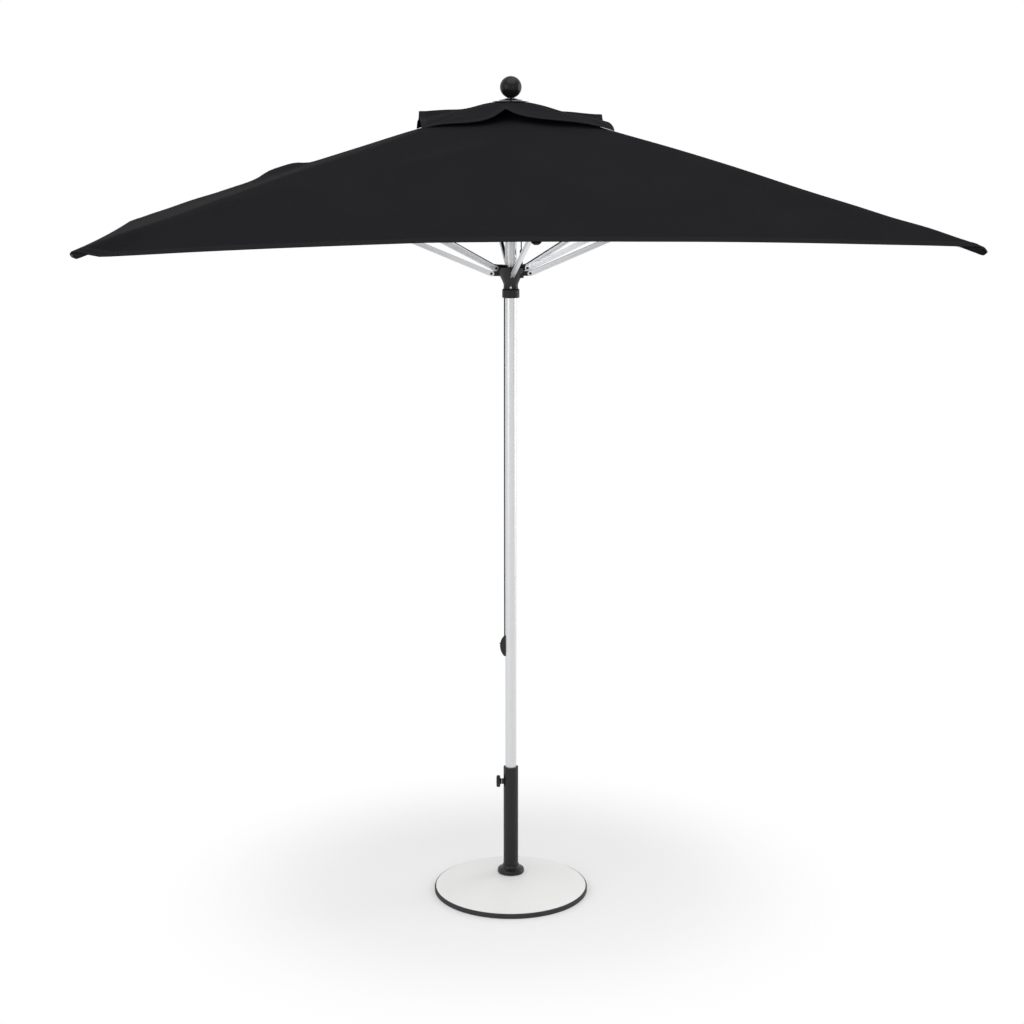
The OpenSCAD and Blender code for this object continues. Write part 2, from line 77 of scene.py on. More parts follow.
class Shader:
    """A principled material built from procedural textures."""

    def __init__(self, name, uv=None):
        self.mat = bpy.data.materials.new(name)
        self.mat.use_nodes = True
        self.tree = self.mat.node_tree
        self.bsdf = next(n for n in self.tree.nodes if n.type == "BSDF_PRINCIPLED")
        if uv:
            node = self.tree.nodes.new("ShaderNodeUVMap")
            node.uv_map = uv
            self.co = node.outputs["UV"]
        else:
            self.co = self.tree.nodes.new("ShaderNodeTexCoord").outputs["Object"]

    def uv(self, name):
        node = self.tree.nodes.new("ShaderNodeUVMap")
        node.uv_map = name
        return node.outputs["UV"]

    def set(self, **values):
        for key, value in values.items():
            self.bsdf.inputs[key.replace("_", " ")].default_value = value

    def link(self, a, b):
        self.tree.links.new(a, b)

    def scaled(self, scale, co=None, turn=(0, 0, 0)):
        node = self.tree.nodes.new("ShaderNodeMapping")
        node.inputs["Scale"].default_value = scale
        node.inputs["Rotation"].default_value = turn
        self.link(co or self.co, node.inputs["Vector"])
        return node.outputs["Vector"]

    def noise(self, scale, detail=4.0, rough=0.55, co=None):
        node = self.tree.nodes.new("ShaderNodeTexNoise")
        node.inputs["Scale"].default_value = scale
        node.inputs["Detail"].default_value = detail
        node.inputs["Roughness"].default_value = rough
        self.link(co or self.co, node.inputs["Vector"])
        return node.outputs[0]

    def wave(self, scale, direction="X", co=None, twist=0.0):
        node = self.tree.nodes.new("ShaderNodeTexWave")
        node.bands_direction = direction
        node.inputs["Scale"].default_value = scale
        node.inputs["Distortion"].default_value = twist
        node.inputs["Detail"].default_value = 1.0
        self.link(co or self.co, node.inputs["Vector"])
        return node.outputs["Fac"]

    def math(self, op, a, b=None, c=None):
        node = self.tree.nodes.new("ShaderNodeMath")
        node.operation = op
        for i, v in enumerate((a, b, c)):
            if v is None:
                continue
            if isinstance(v, (int, float)):
                node.inputs[i].default_value = v
            else:
                self.link(v, node.inputs[i])
        return node.outputs[0]

    def ramp(self, value, lo, hi, out_lo=0.0, out_hi=1.0):
        node = self.tree.nodes.new("ShaderNodeMapRange")
        for key, v in (("From Min", lo), ("From Max", hi), ("To Min", out_lo), ("To Max", out_hi)):
            node.inputs[key].default_value = v
        self.link(value, node.inputs["Value"])
        return node.outputs["Result"]

    def mix(self, fac, a, b):
        node = self.tree.nodes.new("ShaderNodeMix")
        node.data_type = "RGBA"
        if isinstance(fac, (int, float)):
            node.inputs[0].default_value = fac
        else:
            self.link(fac, node.inputs[0])
        for i, v in ((6, a), (7, b)):
            if isinstance(v, tuple):
                node.inputs[i].default_value = (*v, 1.0)
            else:
                self.link(v, node.inputs[i])
        return node.outputs[2]

    def split(self, co=None):
        node = self.tree.nodes.new("ShaderNodeSeparateXYZ")
        self.link(co or self.co, node.inputs[0])
        return node.outputs["X"], node.outputs["Y"], node.outputs["Z"]

    def colour(self, socket):
        self.link(socket, self.bsdf.inputs["Base Color"])

    def rough(self, socket):
        self.link(socket, self.bsdf.inputs["Roughness"])

    def bump(self, height, strength, distance, under=None):
        node = self.tree.nodes.new("ShaderNodeBump")
        node.inputs["Strength"].default_value = strength
        node.inputs["Distance"].default_value = distance
        self.link(height, node.inputs["Height"])
        if under is not None:
            self.link(under, node.inputs["Normal"])
        self.link(node.outputs["Normal"], self.bsdf.inputs["Normal"])
        return node.outputs["Normal"]


def tint(c, k):
    return tuple(min(1.0, v * k) for v in c)


def coated(name, colour, rough, spread=0.08, grain=900.0, strength=0.25, patch=6.0, spec=0.3):
    """Paint, powder coat or moulded plastic: fine grain, soft patches, a little dust."""
    s = Shader(name)
    patches = s.noise(patch, 5.0)
    fine = s.noise(grain * 0.35, 3.0)
    base = s.mix(s.ramp(patches, 0.35, 0.65), tint(colour, 1 - spread), tint(colour, 1 + spread))
    base = s.mix(s.ramp(fine, 0.55, 0.8, 0.0, 0.35), base, tint(colour, 1.35))
    s.colour(base)
    s.rough(s.ramp(patches, 0.3, 0.7, rough - 0.06, rough + 0.06))
    s.bump(s.noise(grain, 2.0), strength, 0.0003)
    s.set(Specular_IOR_Level=spec)
    return s.mat


def metal(name, colour, rough, stretch=(1, 1, 0.02), strength=0.1, grain=700.0, wear=0.12):
    """Drawn or brushed metal: long streaks, rubbed patches, fine scratches."""
    s = Shader(name)
    streak = s.noise(grain, 4.0, 0.6, s.scaled(stretch))
    patches = s.noise(9.0, 5.0)
    scratch = s.noise(1500.0, 2.0, 0.5, s.scaled(tuple(v * 0.5 + 0.02 for v in stretch)))
    base = s.mix(s.ramp(streak, 0.3, 0.7), tint(colour, 1 - wear), tint(colour, 1 + wear * 0.5))
    base = s.mix(s.ramp(patches, 0.5, 0.75, 0.0, 0.25), base, tint(colour, 0.8))
    s.colour(base)
    s.rough(s.ramp(streak, 0.25, 0.75, rough - 0.05, rough + 0.07))
    s.bump(s.math("ADD", streak, s.math("MULTIPLY", scratch, 0.5)), strength, 0.0002)
    s.set(Metallic=1.0)
    return s.mat


def cloth(name, colour, pitch=0.0011, hem=True, seam=False):
    """Woven acrylic: two sets of threads, slubs, a lighter stitched hem, faint dust."""
    s = Shader(name, "flat")
    k = 2 * math.pi / (20 * pitch)
    warp = s.wave(k, "X", twist=0.6)
    weft = s.wave(k, "Y", twist=0.6)
    weave = s.math("MULTIPLY", warp, weft)
    slub = s.noise(900.0, 2.0, 0.5, s.scaled((1, 0.06, 1)))
    cross = s.noise(900.0, 2.0, 0.5, s.scaled((0.06, 1, 1)))
    threads = s.math("ADD", slub, cross)
    dust = s.noise(5.0, 6.0, 0.6)
    base = s.mix(s.ramp(threads, 0.75, 1.25), tint(colour, 0.78), tint(colour, 1.25))
    base = s.mix(s.ramp(dust, 0.45, 0.8, 0.0, 0.35), base, tint(colour, 1.5))
    # painted highlight: the raised crossings of the weave, which also carry the bump, are painted
    # lighter
    base = s.mix(s.math("MULTIPLY", weave, 0.5), base, tint(colour, 1.3))
    height = s.math("ADD", s.math("MULTIPLY", weave, 0.5), s.math("MULTIPLY", threads, 0.3))
    if hem:
        x, y, _ = s.split(s.uv("edge"))
        inside = s.math("LESS_THAN", y, 0.021)
        base = s.mix(s.math("MULTIPLY", inside, 0.55), base, tint(colour, 1.45))
        dash = s.math("LESS_THAN", s.math("FRACT", s.math("DIVIDE", x, 0.0045)), 0.62)
        for at in (0.0035, 0.0175):
            line = s.math("LESS_THAN", s.math("ABSOLUTE", s.math("SUBTRACT", y, at)), 0.0006)
            stitch = s.math("MULTIPLY", line, dash)
            base = s.mix(s.math("MULTIPLY", stitch, 0.8), base, tint(colour, 3.2))
            height = s.math("SUBTRACT", height, s.math("MULTIPLY", line, 0.9))
    if seam:
        x, y, _ = s.split(s.uv("seam"))
        dash = s.math("LESS_THAN", s.math("FRACT", s.math("DIVIDE", x, 0.0045)), 0.62)
        away = s.math("ABSOLUTE", y)
        for at in (0.0012, 0.0068):
            line = s.math("LESS_THAN", s.math("ABSOLUTE", s.math("SUBTRACT", away, at)), 0.0006)
            stitch = s.math("MULTIPLY", line, dash)
            base = s.mix(s.math("MULTIPLY", stitch, 0.7), base, tint(colour, 3.0))
            height = s.math("SUBTRACT", height, s.math("MULTIPLY", line, 0.9))
    s.colour(base)
    s.rough(s.ramp(threads, 0.7, 1.3, 0.88, 1.0))
    s.bump(height, 0.25, 0.0005)
    s.set(Specular_IOR_Level=0.04)
    return s.mat


def rope(name, colour, uv=None, pitch=(150.0, 150.0, 100.0)):
    """Braided cord: diagonal plaits both ways along its length."""
    s = Shader(name, uv)
    a = s.wave(1.0, "DIAGONAL", co=s.scaled(tuple(v * k for v, k in zip(pitch, (1, 1, 1)))))
    b = s.wave(1.0, "DIAGONAL", co=s.scaled(tuple(v * k for v, k in zip(pitch, (-1, 1, 1)))))
    plait = s.math("MAXIMUM", a, b)
    fuzz = s.noise(400.0, 3.0)
    # painted shade and highlight: the cord is painted darker in the grooves between the plaits and
    # lighter on their crowns, the same shape as its bump
    base = s.mix(plait, tint(colour, 0.5), tint(colour, 1.5))
    s.colour(s.mix(s.ramp(fuzz, 0.5, 0.8, 0.0, 0.4), base, tint(colour, 2.0)))
    s.rough(s.ramp(fuzz, 0.3, 0.7, 0.7, 0.9))
    s.bump(plait, 0.6, 0.0004)
    return s.mat


def put(obj, *materials):
    obj.data.materials.clear()
    for m in materials:
        obj.data.materials.append(m)


def centres(obj):
    at = np.zeros(len(obj.data.polygons) * 3)
    obj.data.polygons.foreach_get("center", at)
    return at.reshape(-1, 3)


def mark(obj, index):
    """Give each face of a piece its material by number."""
    obj.data.polygons.foreach_set("material_index", np.asarray(index, np.int32))
    obj.data.update()


# ---------------------------------------------------------------- materials
BLACK = (0.009, 0.009, 0.0103)
M = {
    "base": coated("base_white", (0.88, 0.88, 0.87), 0.42, 0.02, 700.0, 0.18, 3.0),
    "rim": coated("rim_rubber", (0.028, 0.028, 0.031), 0.62, 0.15, 500.0, 0.4, 12.0),
    "plate": coated("plate_black", (0.022, 0.022, 0.024), 0.6, 0.15, 500.0, 0.4),
    "tube": coated("tube_black", (0.0105, 0.0105, 0.012), 0.42, 0.12, 800.0, 0.22, 8.0),
    "collar": coated("collar_black", (0.013, 0.013, 0.0145), 0.36, 0.12, 700.0, 0.2, 9.0),
    "knob": coated("knob_plastic", (0.012, 0.012, 0.013), 0.46, 0.1, 900.0, 0.3, 20.0),
    "boss": coated("boss_black", (0.014, 0.014, 0.015), 0.45, 0.1, 600.0, 0.3, 20.0),
    "bush": coated("bushing_plastic", (0.02, 0.02, 0.021), 0.5, 0.1, 600.0, 0.3, 20.0),
    "mould": coated("moulded_nylon", (0.0125, 0.0125, 0.0135), 0.44, 0.14, 1000.0, 0.35, 25.0),
    "outlet": coated("outlet_plastic", (0.011, 0.011, 0.012), 0.3, 0.1, 900.0, 0.15, 25.0),
    "finial": coated("finial_black", (0.008, 0.008, 0.009), 0.3, 0.1, 220.0, 0.08, 12.0, 0.18),
    "flange": coated("flange_black", (0.009, 0.009, 0.010), 0.34, 0.1, 500.0, 0.15, 12.0, 0.2),
    "nylon": coated("natural_nylon", (0.6, 0.6, 0.56), 0.45, 0.05, 600.0, 0.2, 20.0),
    "sleeve": coated("cord_sleeve", (0.011, 0.011, 0.012), 0.4, 0.1, 700.0, 0.3, 30.0),
    "cap": coated("rib_cap", (0.013, 0.013, 0.014), 0.5, 0.1, 700.0, 0.3, 30.0),
    "pole": metal("pole_aluminium", (0.68, 0.685, 0.695), 0.36, (1, 1, 0.012), 0.03, 900.0, 0.03),
    "rib": metal("rib_aluminium", (0.55, 0.56, 0.57), 0.42, (1, 1, 1), 0.015, 900.0, 0.03),
    "strut": metal("strut_aluminium", (0.74, 0.75, 0.77), 0.38, (1, 1, 1), 0.012, 900.0, 0.03),
    "zinc": metal("zinc_steel", (0.42, 0.42, 0.43), 0.36, (1, 1, 1), 0.15, 500.0, 0.15),
    "screw": metal("screw_steel", (0.6, 0.6, 0.61), 0.28, (1, 1, 1), 0.1, 800.0, 0.1),
    "bolt": coated("bolt_black", (0.016, 0.016, 0.017), 0.38, 0.15, 900.0, 0.2, 40.0),
    "canopy": cloth("canopy_cloth", BLACK),
    "hips": cloth("canopy_cloth_hip", BLACK, seam=True),
    "tier": cloth("tier_cloth", BLACK),
    "patch": cloth("patch_cloth", tint(BLACK, 1.05)),
    "pocket": cloth("pocket_cloth", tint(BLACK, 0.9)),
    "cord": rope("cord", (0.022, 0.022, 0.025), "flat", (0.6, 110.0, 1.0)),
    "inner": rope("cord_inside", (0.022, 0.022, 0.025)),
}
WEAR = {
    "base_plate": "plate", "base_weight": "base", "base_rim": "rim", "base_collar": "collar",
    "base_tube": "tube", "tube_bolt": "zinc", "knob_boss": "boss", "knob_washer": "zinc",
    "thumb_knob": "knob", "tube_bushing": "bush", "pole_tube": "pole", "pole_plug": "bush",
    "cord_outlet": "outlet", "outlet_screws": "screw", "hub_body": "mould", "hub_bolts": "zinc",
    "sheave": "nylon", "finial_flange": "flange", "finial": "finial", "runner_body": "mould",
    "runner_liner": "nylon", "runner_bolts": "bolt", "runner_screw": "screw",
    "cord_anchor": "sleeve", "cord_ferrule": "sleeve", "lift_cord_inner": "inner",
    "lift_cord_outer": "inner", "crown_patch": "mould",
}
for name, key in WEAR.items():
    put(nodes[name], M[key])
for n in NAMES:
    rib, strut = nodes["rib_" + n], nodes["strut_" + n]
    put(rib, M["rib"], M["cap"], M["zinc"])
    put(strut, M["strut"], M["cap"])
    turn = TURNS[NAMES.index(n)]
    c, s = math.cos(turn), math.sin(turn)
    at = centres(rib)
    reach = at[:, 0] * c + at[:, 1] * s
    side = np.abs(at[:, 1] * c - at[:, 0] * s)
    mark(rib, np.where(reach > reach.max() - 0.031, 1, np.where(side > 0.0061, 2, 0)))
    at = centres(strut)
    reach = at[:, 0] * c + at[:, 1] * s
    mark(strut, np.where(reach > reach.max() - 0.028, 1, 0))

# ---------------------------------------------------------------- the cloth's shape
A, B = 1.312, 0.835
TIER_A, TIER_B = 0.297, 0.180
CORNER_Z, LONG_Z, SHORT_Z = 2.278, 2.301, 2.272
HUB_R, HUB_Z = 0.055, 2.6775  # where the cloth's straight lines start, over the rib pivots
TIER_TOP, TIER_MID, TIER_CORNER, TIER_IN = 2.6966, 2.674, 2.617, 0.033
VENT = 0.09
THICK = 0.0009


def ring(u, a, b):
    """Point on an oblong's outline: 0 is the middle of +X, 1 a corner, on to 8."""
    u = np.mod(u, 8.0)
    at = np.arange(9)
    xs = np.array([a, a, 0, -a, -a, -a, 0, a, a])
    ys = np.array([0, b, b, b, 0, -b, -b, -b, 0])
    return np.interp(u, at, xs), np.interp(u, at, ys)


def fold(x, y, x0, y0, angle, length, width, height):
    """A soft crease through a point: a ridge that fades at its ends."""
    c, s = math.cos(angle), math.sin(angle)
    p, q = (x - x0) * c + (y - y0) * s, -(x - x0) * s + (y - y0) * c
    return height * np.exp(-((p / length) ** 4)) * np.exp(-((q / width) ** 2))


def wrinkles(x, y, k, u):
    """Small shapes of the stretched cloth, in metres, along Z."""
    near = np.abs(np.sin(np.pi * u))
    out = -0.007 * near ** 2 * np.sin(np.pi * np.clip(k, 0, 1))
    hold = np.clip((1 - k) / 0.1, 0, 1) ** 0.5
    for sx in (-1, 1):
        for sy in (-1, 1):
            cx, cy = sx * A, sy * B
            for reach, off, high in ((0.28, 0.19, 0.0035), (0.36, 0.33, -0.003), (0.3, 0.47, 0.0028)):
                ang = math.atan2(-sy * (0.35 + off), -sx)
                out = out + fold(
                    x, y, cx + 0.34 * math.cos(ang), cy + 0.34 * math.sin(ang),
                    ang, reach, 0.03, high) * hold
    out = out + 0.0011 * np.sin(9 * x + 5 * y + 2 * np.sin(4 * y)) * hold
    out = out + 0.0008 * np.sin(17 * x - 11 * y + 3 * np.sin(5 * x)) * hold
    out = out + fold(x, y, -0.22, -0.36, 0.35, 0.16, 0.035, 0.006)
    out = out + fold(x, y, -0.753, 0.479, math.atan2(B, -A), 0.09, 0.05, 0.018)
    u8 = np.mod(u, 8.0)
    reach = np.clip((-x - 0.33) / 0.95, 0, 1) * ((u8 >= 5) & (u8 <= 6))
    rise = np.clip((k - 0.76) / 0.24, 0, 1)
    tip = np.clip((u8 - 5.014) / 0.05, 0, 1)
    out = out - 0.0165 * reach * tip * rise ** 2 * (3 - 2 * rise)
    return out


def tip_droop(x, y, z):
    """The far-right and near-right corners turn down over the ends of their ribs."""
    away = np.hypot(np.abs(x) - A, np.abs(y) - B)
    f = np.clip(1 - away / 0.03, 0, 1) ** 2
    right = x > 0
    out = np.where(right, 0.008, -0.005) * f
    r = math.hypot(A, B)
    fall = (0.0075 * f + 0.008 * np.clip(1 - away / 0.012, 0, 1)) * right
    return x + out * np.sign(x) * A / r, y + out * np.sign(y) * B / r, z - fall


def canopy_surface(u, k, raised=True):
    ex, ey = ring(u, A, B)
    r = np.hypot(ex, ey)
    on_long = np.abs(ey) >= B - 1e-6
    edge = np.where(
        on_long,
        CORNER_Z + (LONG_Z - CORNER_Z) * (1 - (ex / A) ** 2),
        SHORT_Z + (CORNER_Z - SHORT_Z) * (ey / B) ** 2)
    z = HUB_Z + (edge - HUB_Z) * (k * r - HUB_R) / (r - HUB_R)
    z = z + 0.011 * np.sin(np.pi * np.maximum(k, 0) ** 0.75)
    x, y = k * ex, k * ey
    if raised:
        z = z + wrinkles(x, y, k, u)
        x, y, z = tip_droop(x, y, z)
    return x, y, z


def tier_surface(u, k, raised=True):
    """The cap: steep by the finial, then flat, and hanging at its corners."""
    w8 = np.mod(u, 8.0)
    near_corner = np.exp(-((w8 - 7) / 0.45) ** 2)
    ex, ey = ring(u, TIER_A, TIER_B)
    grow = 1 + (0.05 * near_corner if raised else 0)
    ex, ey = ex * grow, ey * grow
    r = np.hypot(ex, ey)
    q = TIER_IN + (r - TIER_IN) * k
    k = np.maximum(k, 0)
    bent = w8 + (0.11 * np.exp(-((w8 - 5.9) / 0.35) ** 2) if raised else 0)
    w = np.mod(bent, 2.0)
    c = 1 - np.abs(1 - w)
    soft = 0.22 * (1 - k)
    c = np.sqrt(c ** 2 + soft ** 2) - soft
    drop = 0.62 * (1 - np.exp(-c / 0.15)) + 0.38 * c ** 4
    z_mid = TIER_MID
    if raised:
        left = np.clip(1 - np.abs(w8 - 5.5) / 0.5, 0, 1)
        drop = drop + 0.17 * np.sin(0.5 * np.pi * left) ** 2 * (1 - 0.4 * c)
        z_mid = z_mid - 0.018 * np.exp(-((np.mod(w8 + 4, 8) - 4) / 0.4) ** 2)
        z_mid = z_mid - 0.008 * np.exp(-((w8 - 4) / 0.4) ** 2) - 0.006 * c ** 4
        z_mid = z_mid + 0.003 * np.exp(-((w8 - 5.9) / 0.3) ** 2) - 0.005 * near_corner
    t = np.clip((k - 0.04) / 0.5, 0, 1)
    z = TIER_TOP - (TIER_TOP - z_mid) * (0.52 * t * t * (3 - 2 * t) + 0.48 * k)
    z = z - (TIER_MID - TIER_CORNER) * drop * k ** 1.6
    if raised:
        z = z + 0.0012 * np.sin(40 * q * np.cos(3 * u)) * np.sin(np.pi * np.clip(k, 0, 1))
    return ex / r * q, ey / r * q, z


def normals_of(surface, u, k):
    e = 1e-4
    a = np.array(surface(u + e, k)) - np.array(surface(u - e, k))
    b = np.array(surface(u, k + e)) - np.array(surface(u, k - e))
    n = np.cross(b, a, axis=0)
    n = n / np.maximum(np.linalg.norm(n, axis=0), 1e-12)
    return np.where(n[2] < 0, -n, n)


def cloth_piece(name, surface, i, ks, us, thick, hem, seam, material, outline):
    """Closed thin sheet over a grid, with a doubled hem and a raised seam on its rib line."""
    n, m = len(us), len(ks)
    U, K = np.meshgrid(us + i, ks, indexing="ij")
    P = np.array(surface(U, K))
    N = normals_of(surface, U, K)
    ox, oy = ring(U, *outline)
    side = np.where(np.abs(oy) >= outline[1] - 1e-6, outline[1], outline[0])
    from_edge = (1 - K) * side
    along_edge = np.where(np.abs(oy) >= outline[1] - 1e-6, ox, oy)
    tx, ty = ring(float(i), *outline)
    t = math.hypot(tx, ty)
    cross = (-P[0] * ty + P[1] * tx) / t
    reach = (P[0] * tx + P[1] * ty) / t
    up = np.full(U.shape, thick / 2)
    if hem:
        up = up + 0.0007 * np.clip((hem + 0.0015 - from_edge) / 0.0015, 0, 1)
    if seam:
        up = up + 0.0007 * np.clip((0.0095 - np.abs(cross)) / 0.0015, 0, 1)
    mid = P - N * 0.0012
    top = mid + N * up
    low = mid - N * up
    verts = np.concatenate([top.reshape(3, -1).T, low.reshape(3, -1).T])
    faces = []
    c = n * m
    for a in range(n - 1):
        for b in range(m - 1):
            p = a * m + b
            faces.append((p, p + 1, p + m + 1, p + m))
    top_faces = len(faces)
    faces += [tuple(v + c for v in reversed(f)) for f in faces]
    loop = [b for b in range(m)] + [a * m + m - 1 for a in range(1, n)]
    loop += [(n - 1) * m + b for b in range(m - 2, -1, -1)] + [a * m for a in range(n - 2, 0, -1)]
    for p, q in zip(loop, loop[1:] + loop[:1]):
        faces.append((p, p + c, q + c, q))
    mesh = bpy.data.meshes.new(name)
    mesh.from_pydata([tuple(v) for v in verts], [], faces)
    if Vector(mesh.polygons[0].normal).z < 0:
        mesh.flip_normals()
    mesh.update()
    for poly in mesh.polygons:
        poly.use_smooth = True
    flat = np.stack([P[0].ravel(), P[1].ravel()], 1)
    edge = np.stack([along_edge.ravel(), from_edge.ravel()], 1)
    seam_uv = np.stack([reach.ravel(), cross.ravel()], 1)
    index = np.zeros(len(mesh.loops), int)
    mesh.loops.foreach_get("vertex_index", index)
    for layer, data in (("flat", flat), ("edge", edge), ("seam", seam_uv)):
        uv = mesh.uv_layers.new(name=layer)
        uv.data.foreach_set("uv", np.tile(data, (2, 1))[index].astype(np.float32).ravel())
    smooth = np.concatenate([N.reshape(3, -1).T, -N.reshape(3, -1).T])[index]
    for poly in mesh.polygons[2 * top_faces:]:
        for li in poly.loop_indices:
            smooth[li] = poly.normal
    mesh.normals_split_custom_set([tuple(v) for v in smooth])
    obj = bpy.data.objects.new(name, mesh)
    scene.collection.objects.link(obj)
    put(obj, material)
    return obj


HEM, TIER_HEM = 0.021, 0.016


def spaced(lo, hi, count, *extra):
    return np.array(sorted(set(np.round(np.concatenate([np.linspace(lo, hi, count), extra]), 7))))


def area_of(surface, i):
    """Area of one piece of cloth, without its wrinkles."""
    inner = 0 if surface is tier_surface else VENT
    u, k = np.meshgrid(
        np.linspace(i - 0.5, i + 0.5, 25), np.linspace(inner, 1, 25), indexing="ij")
    p = np.array(surface(u, k, False))
    a, b = p[:, 1:, :-1] - p[:, :-1, :-1], p[:, :-1, 1:] - p[:, :-1, :-1]
    return float(np.linalg.norm(np.cross(a, b, axis=0), axis=0).sum())


for i, n in enumerate(NAMES):
    tip = ring(float(i), A, B)
    turn = math.atan2(tip[1], tip[0])
    corner = i % 2 == 1
    extra = [-0.0115, -0.0098, 0.0, 0.0098, 0.0115] if corner else []
    us = spaced(-0.5, 0.5, 49, *extra)
    ks = spaced(VENT, 1.0, 61, 1 - HEM / A, 1 - (HEM + 0.0015) / A, 1 - HEM / B, 1 - (HEM + 0.0015) / B)
    piece = cloth_piece(
        "cloth_" + n, canopy_surface, i, ks, us, THICK, HEM, corner,
        M["hips"] if corner else M["canopy"], (A, B))
    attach(piece, "rib_" + n)
    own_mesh(piece)
    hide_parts("canopy_" + n)
    area_of(canopy_surface, i)

    us = spaced(-0.5, 0.5, 33)
    ks = spaced(0.0, 1.0, 25, 1 - TIER_HEM / TIER_A, 1 - (TIER_HEM + 0.0015) / TIER_A)
    top = cloth_piece(
        "tier_cloth_" + n, tier_surface, i, ks, us, THICK, TIER_HEM, False, M["tier"], (TIER_A, TIER_B))
    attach(top, "rib_" + n)
    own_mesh(top)
    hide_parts("tier_" + n)
    area_of(tier_surface, i)

# ---------------------------------------------------------------- rib pockets, crown patch, cord
def closed_grid(name, P, N, thick, material, flat, ring_closed=False):
    """Closed thin sheet through a grid of points, with the map called flat."""
    n, m = P.shape[1], P.shape[2]
    top, low = P + N * thick / 2, P - N * thick / 2
    c = n * m
    faces = []
    rows = n if ring_closed else n - 1
    for a in range(rows):
        for b in range(m - 1):
            p, q = a * m + b, ((a + 1) % n) * m + b
            faces.append((p, p + 1, q + 1, q))
            faces.append((q + c, q + 1 + c, p + 1 + c, p + c))
    if ring_closed:
        for a in range(n):
            p, q = a * m, ((a + 1) % n) * m
            faces.append((q, q + c, p + c, p))
            p, q = p + m - 1, q + m - 1
            faces.append((p, p + c, q + c, q))
    else:
        loop = list(range(m)) + [a * m + m - 1 for a in range(1, n)]
        loop += [(n - 1) * m + b for b in range(m - 2, -1, -1)] + [a * m for a in range(n - 2, 0, -1)]
        for p, q in zip(loop, loop[1:] + loop[:1]):
            faces.append((p, p + c, q + c, q))
    verts = np.concatenate([top.reshape(3, -1).T, low.reshape(3, -1).T])
    mesh = bpy.data.meshes.new(name)
    mesh.from_pydata([tuple(v) for v in verts], [], faces)
    mesh.update()
    work = bmesh.new()
    work.from_mesh(mesh)
    bmesh.ops.recalc_face_normals(work, faces=work.faces)
    work.to_mesh(mesh)
    work.free()
    for poly in mesh.polygons:
        poly.use_smooth = True
    index = np.zeros(len(mesh.loops), int)
    mesh.loops.foreach_get("vertex_index", index)
    data = np.tile(flat.reshape(2, -1).T, (2, 1))[index]
    for layer in ("flat", "edge", "seam"):
        uv = mesh.uv_layers.new(name=layer)
        uv.data.foreach_set("uv", data.astype(np.float32).ravel())
    obj = bpy.data.objects.new(name, mesh)
    scene.collection.objects.link(obj)
    put(obj, material)
    return obj


def pocket(i, n):
    """Pouch sewn under the cloth, over the end of a rib."""
    ex, ey = ring(float(i), A, B)
    r = math.hypot(ex, ey)
    out = np.array([ex / r, ey / r, 0.0])
    side = np.array([-out[1], out[0], 0.0])
    s = np.concatenate([np.linspace(0.0, 0.012, 7), np.linspace(0.016, 0.078, 14)])
    t = np.linspace(0, math.pi, 19)
    S, T = np.meshgrid(s, t, indexing="ij")
    round_end = np.sqrt(np.clip(1 - ((0.012 - S) / 0.012).clip(0, 1) ** 2, 0.02, 1))
    half, depth, start = (0.021, 0.019, 0.003) if i % 2 else (0.0165, 0.0155, 0.004)
    if n == "sw":
        depth = 0.0165
    wide = half * (0.55 + 0.45 * round_end) * (1 - 0.12 * S / 0.078)
    deep = depth * round_end * (1 + 0.08 * np.sin(60 * S))
    k = 1 - (S + start) / r
    across = wide * np.cos(T)
    for j, (e, full) in enumerate(((ex, A), (ey, B))):
        if abs(e) > 1e-6 and abs(side[j]) > 1e-6:
            room = (full * 1.003 - k * abs(e)) / abs(side[j])
            grows = across * side[j] * e > 0
            across = np.where(grows, np.sign(across) * np.minimum(np.abs(across), room), across)
    x0, y0, z0 = canopy_surface(np.full(S.shape, float(i)), k)
    x = x0 + across * side[0]
    y = y0 + across * side[1]
    kk = np.maximum(np.abs(k * ex + across * side[0]) / A, np.abs(k * ey + across * side[1]) / B)
    edge = CORNER_Z if i % 2 else SHORT_Z if i % 4 == 0 else LONG_Z
    fall = (HUB_Z - edge) * r / (r - HUB_R)
    z = z0 - np.maximum(kk - k, 0) * fall - 0.0028 - deep * np.sin(T) ** 0.8
    P = np.array([x, y, z])
    du = np.gradient(P, axis=1)
    dv = np.gradient(P, axis=2)
    N = np.cross(du, dv, axis=0)
    N = N / np.maximum(np.linalg.norm(N, axis=0), 1e-9)
    arc = T / math.pi * 0.066
    obj = closed_grid("pocket_" + n, P, N, 0.0012, M["pocket"], np.array([S, arc]))
    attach(obj, "rib_" + n)


for i, n in enumerate(NAMES):
    pocket(i, n)

U, K = np.meshgrid(np.linspace(0, 8, 97)[:-1], np.linspace(0, 1, 15), indexing="ij")
q = 0.0085 + (0.058 - 0.0085) * K
ex, ey = ring(U, TIER_A, TIER_B)
far_r = np.hypot(ex, ey)
tk = (q - TIER_IN) / (far_r - TIER_IN)
_, _, tz = tier_surface(U, np.maximum(tk, 0))
P = np.array([ex / far_r * q, ey / far_r * q, np.where(q < 0.034, 2.6982, tz + 0.0016)])
P[2] = np.minimum(P[2], 2.6984)
N = np.zeros_like(P)
N[2] = 1
patch = closed_grid("crown_patch_cloth", P, N, THICK, M["patch"], P[:2].copy(), True)
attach(patch, "pole")
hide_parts("crown_patch")

CORD_TURN = math.radians(-16)
CORD_R = 0.00195
top = Vector((0.0261 * math.cos(CORD_TURN), 0.0261 * math.sin(CORD_TURN), 2.5992))
foot = Vector((0.0355 * math.cos(CORD_TURN), 0.0355 * math.sin(CORD_TURN), 2.1945))


